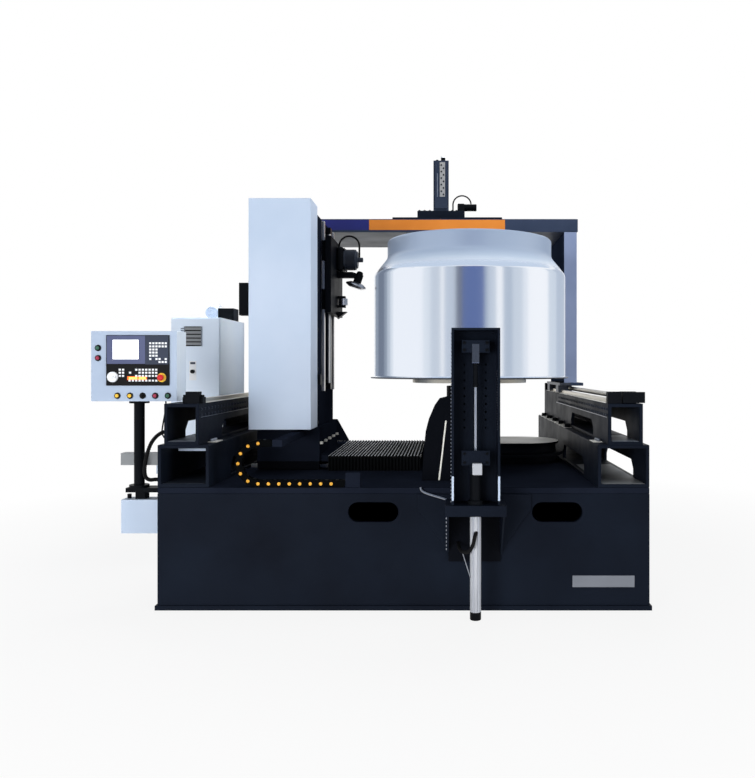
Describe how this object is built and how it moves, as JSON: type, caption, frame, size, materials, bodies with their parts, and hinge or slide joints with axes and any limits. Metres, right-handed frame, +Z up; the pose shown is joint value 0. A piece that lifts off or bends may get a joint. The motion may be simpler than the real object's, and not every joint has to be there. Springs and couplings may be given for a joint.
{
  "type": "metal spinning lathe",
  "caption": "Large upright metal spinning lathe with raised side stands, a roller column, a spindle holding a spun vessel, a travelling gantry with a tail press and a side control panel.",
  "frame": {"origin": "on the floor under the middle of the bed", "axes": "+X to the right along the bed, +Y to the back, +Z up; the floor face points along -Z"},
  "size_m": [3.7015, 3.583, 3.6634],
  "materials": {
    "dark_paint": "semi-gloss very dark navy paint",
    "black_paint": "semi-matt black paint",
    "light_paint": "semi-matt pale blue-grey paint",
    "bright_steel": "ground bright steel",
    "silver": "satin steel tube",
    "polished_steel": "spun and polished stainless steel",
    "cast": "machined cast iron",
    "black_fabric": "folded coated cloth",
    "black_plastic": "matt black plastic",
    "black_rubber": "matt black rubber",
    "grey_plastic": "dark blue-grey plastic front",
    "white_plastic": "white plastic",
    "green_plastic": "green plastic",
    "red_plastic": "red plastic",
    "yellow_plastic": "yellow translucent plastic"
  },
  "bodies": {
    "bed": {"bed_front_plate": "dark_paint", "bed_walls": "dark_paint", "bed_top_plate": "dark_paint", "lower_stands": "dark_paint", "upper_stands": "dark_paint", "linear_rails": "bright_steel", "gantry_drive": "black_paint", "spindle_housing": "dark_paint", "spindle_bearings": "bright_steel", "spindle_motor": "black_paint", "right_way_cover": "light_paint", "front_bracket": "dark_paint", "lift_cylinder": "silver", "front_guard": "black_paint", "way_bellows": "black_fabric", "cable_chain": "black_plastic", "feed_cylinder": "silver", "panel_post": "black_paint", "panel_box": "light_paint", "control_unit": "grey_plastic", "side_boxes": "light_paint", "cabinet_body": "light_paint", "panel_lead": "black_rubber", "panel_hose": "black_rubber"},
    "column": {"column_saddle": "dark_paint", "column_body": "dark_paint", "column_cover": "light_paint", "column_rails": "bright_steel", "lift_drive": "black_paint"},
    "lift_screw": {"lift_screw": "bright_steel"},
    "head": {"roller_saddle": "dark_paint", "tool_arms": "dark_paint", "head_motor": "black_paint"},
    "forming_roller": {"forming_roller": "bright_steel"},
    "beading_roller": {"beading_roller": "bright_steel"},
    "gantry": {"gantry_posts": "dark_paint", "gantry_beam": "dark_paint", "gantry_carriages": "bright_steel"},
    "gantry_screw": {"gantry_screw": "bright_steel"},
    "tail": {"tail_slide": "dark_paint", "tail_cylinder": "dark_paint", "tail_gearmotor": "black_paint"},
    "tail_ram": {"tail_ram": "bright_steel"},
    "spindle": {"spindle_shaft": "bright_steel", "clamp_disc": "cast", "mandrel": "cast", "spun_vessel": "polished_steel"},
    "lift": {"lift_post": "dark_paint", "lift_rod": "bright_steel"},
    "cabinet_door": {"cabinet_door": "light_paint"},
    "isolator_knob": {"isolator_knob": "black_plastic"},
    "side_green_button": {"side_green_button": "green_plastic"},
    "side_red_button": {"side_red_button": "red_plastic"},
    "left_lamp_button": {"left_lamp_button": "yellow_plastic"},
    "right_lamp_button": {"right_lamp_button": "yellow_plastic"},
    "mode_selector": {"mode_selector": "black_plastic"},
    "stop_button": {"stop_button": "red_plastic"},
    "start_button": {"start_button": "green_plastic"},
    "emergency_stop": {"emergency_stop": "red_plastic"},
    "handwheel": {"handwheel": "white_plastic"}
  },
  "joints": [
    {"name": "column_feed", "type": "slide", "parent": "bed", "child": "column", "axis": [1, 0, 0], "range_m": [-0.08, 0.03], "deforming": ["way_bellows", "cable_chain"]},
    {"name": "roller_lift", "type": "slide", "parent": "column", "child": "head", "axis": [0, 0, 1], "range_m": [-0.55, 0.1]},
    {"name": "lift_screw_spin", "type": "hinge", "parent": "column", "child": "lift_screw", "pos_m": [-0.7025, -0.2085, 2], "axis": [0, 0, 1], "continuous": true},
    {"name": "forming_spin", "type": "hinge", "parent": "head", "child": "forming_roller", "pos_m": [-0.483, -0.15, 2.269], "axis": [0.309, 0, 0.9511], "continuous": true},
    {"name": "beading_spin", "type": "hinge", "parent": "head", "child": "beading_roller", "pos_m": [-0.59, -0.15, 2.13], "axis": [0, 0, 1], "continuous": true},
    {"name": "gantry_travel", "type": "slide", "parent": "bed", "child": "gantry", "axis": [0, -1, 0], "range_m": [0, 1.14]},
    {"name": "gantry_screw_spin", "type": "hinge", "parent": "bed", "child": "gantry_screw", "pos_m": [1.475, 0, 1.38], "axis": [0, 1, 0], "continuous": true},
    {"name": "tail_cross", "type": "slide", "parent": "gantry", "child": "tail", "axis": [1, 0, 0], "range_m": [0, 0.245]},
    {"name": "tail_press", "type": "slide", "parent": "tail", "child": "tail_ram", "axis": [0, 0, 1], "range_m": [-0.14, 0]},
    {"name": "spindle_spin", "type": "hinge", "parent": "bed", "child": "spindle", "pos_m": [0.47, -0.15, 1], "axis": [0, 0, 1], "continuous": true},
    {"name": "front_lift", "type": "slide", "parent": "bed", "child": "lift", "axis": [0, 0, 1], "range_m": [0, 0.4]},
    {"name": "cabinet_door_hinge", "type": "hinge", "parent": "bed", "child": "cabinet_door", "pos_m": [-2.029, -0.208, 1], "axis": [0, 0, -1], "range_deg": [0, 110]},
    {"name": "isolator_turn", "type": "hinge", "parent": "cabinet_door", "child": "isolator_knob", "pos_m": [-1.835, -0.22, 1.545], "axis": [0, -1, 0], "range_deg": [-90, 0]},
    {"name": "side_green_push", "type": "slide", "parent": "bed", "child": "side_green_button", "axis": [0, 1, 0], "range_m": [0, 0.005], "stiffness_N_per_m": 500},
    {"name": "side_red_push", "type": "slide", "parent": "bed", "child": "side_red_button", "axis": [0, 1, 0], "range_m": [0, 0.005], "stiffness_N_per_m": 500},
    {"name": "left_lamp_push", "type": "slide", "parent": "bed", "child": "left_lamp_button", "axis": [0, 1, 0], "range_m": [0, 0.005], "stiffness_N_per_m": 500},
    {"name": "right_lamp_push", "type": "slide", "parent": "bed", "child": "right_lamp_button", "axis": [0, 1, 0], "range_m": [0, 0.005], "stiffness_N_per_m": 500},
    {"name": "mode_turn", "type": "hinge", "parent": "bed", "child": "mode_selector", "pos_m": [-1.744, -1.523, 1.388], "axis": [0, -1, 0], "range_deg": [-45, 45]},
    {"name": "stop_push", "type": "slide", "parent": "bed", "child": "stop_button", "axis": [0, 1, 0], "range_m": [0, 0.005], "stiffness_N_per_m": 500},
    {"name": "start_push", "type": "slide", "parent": "bed", "child": "start_button", "axis": [0, 1, 0], "range_m": [0, 0.005], "stiffness_N_per_m": 500},
    {"name": "emergency_push", "type": "slide", "parent": "bed", "child": "emergency_stop", "axis": [0, 1, 0], "range_m": [0, 0.005], "stiffness_N_per_m": 800},
    {"name": "handwheel_turn", "type": "hinge", "parent": "bed", "child": "handwheel", "pos_m": [-1.936, -1.535, 1.513], "axis": [0, -1, 0], "continuous": true}
  ],
  "couplings": [
    {"joint": "lift_screw_spin", "follows": "roller_lift", "rad_per_m": 314.16},
    {"joint": "gantry_screw_spin", "follows": "gantry_travel", "rad_per_m": 157.08}
  ]
}
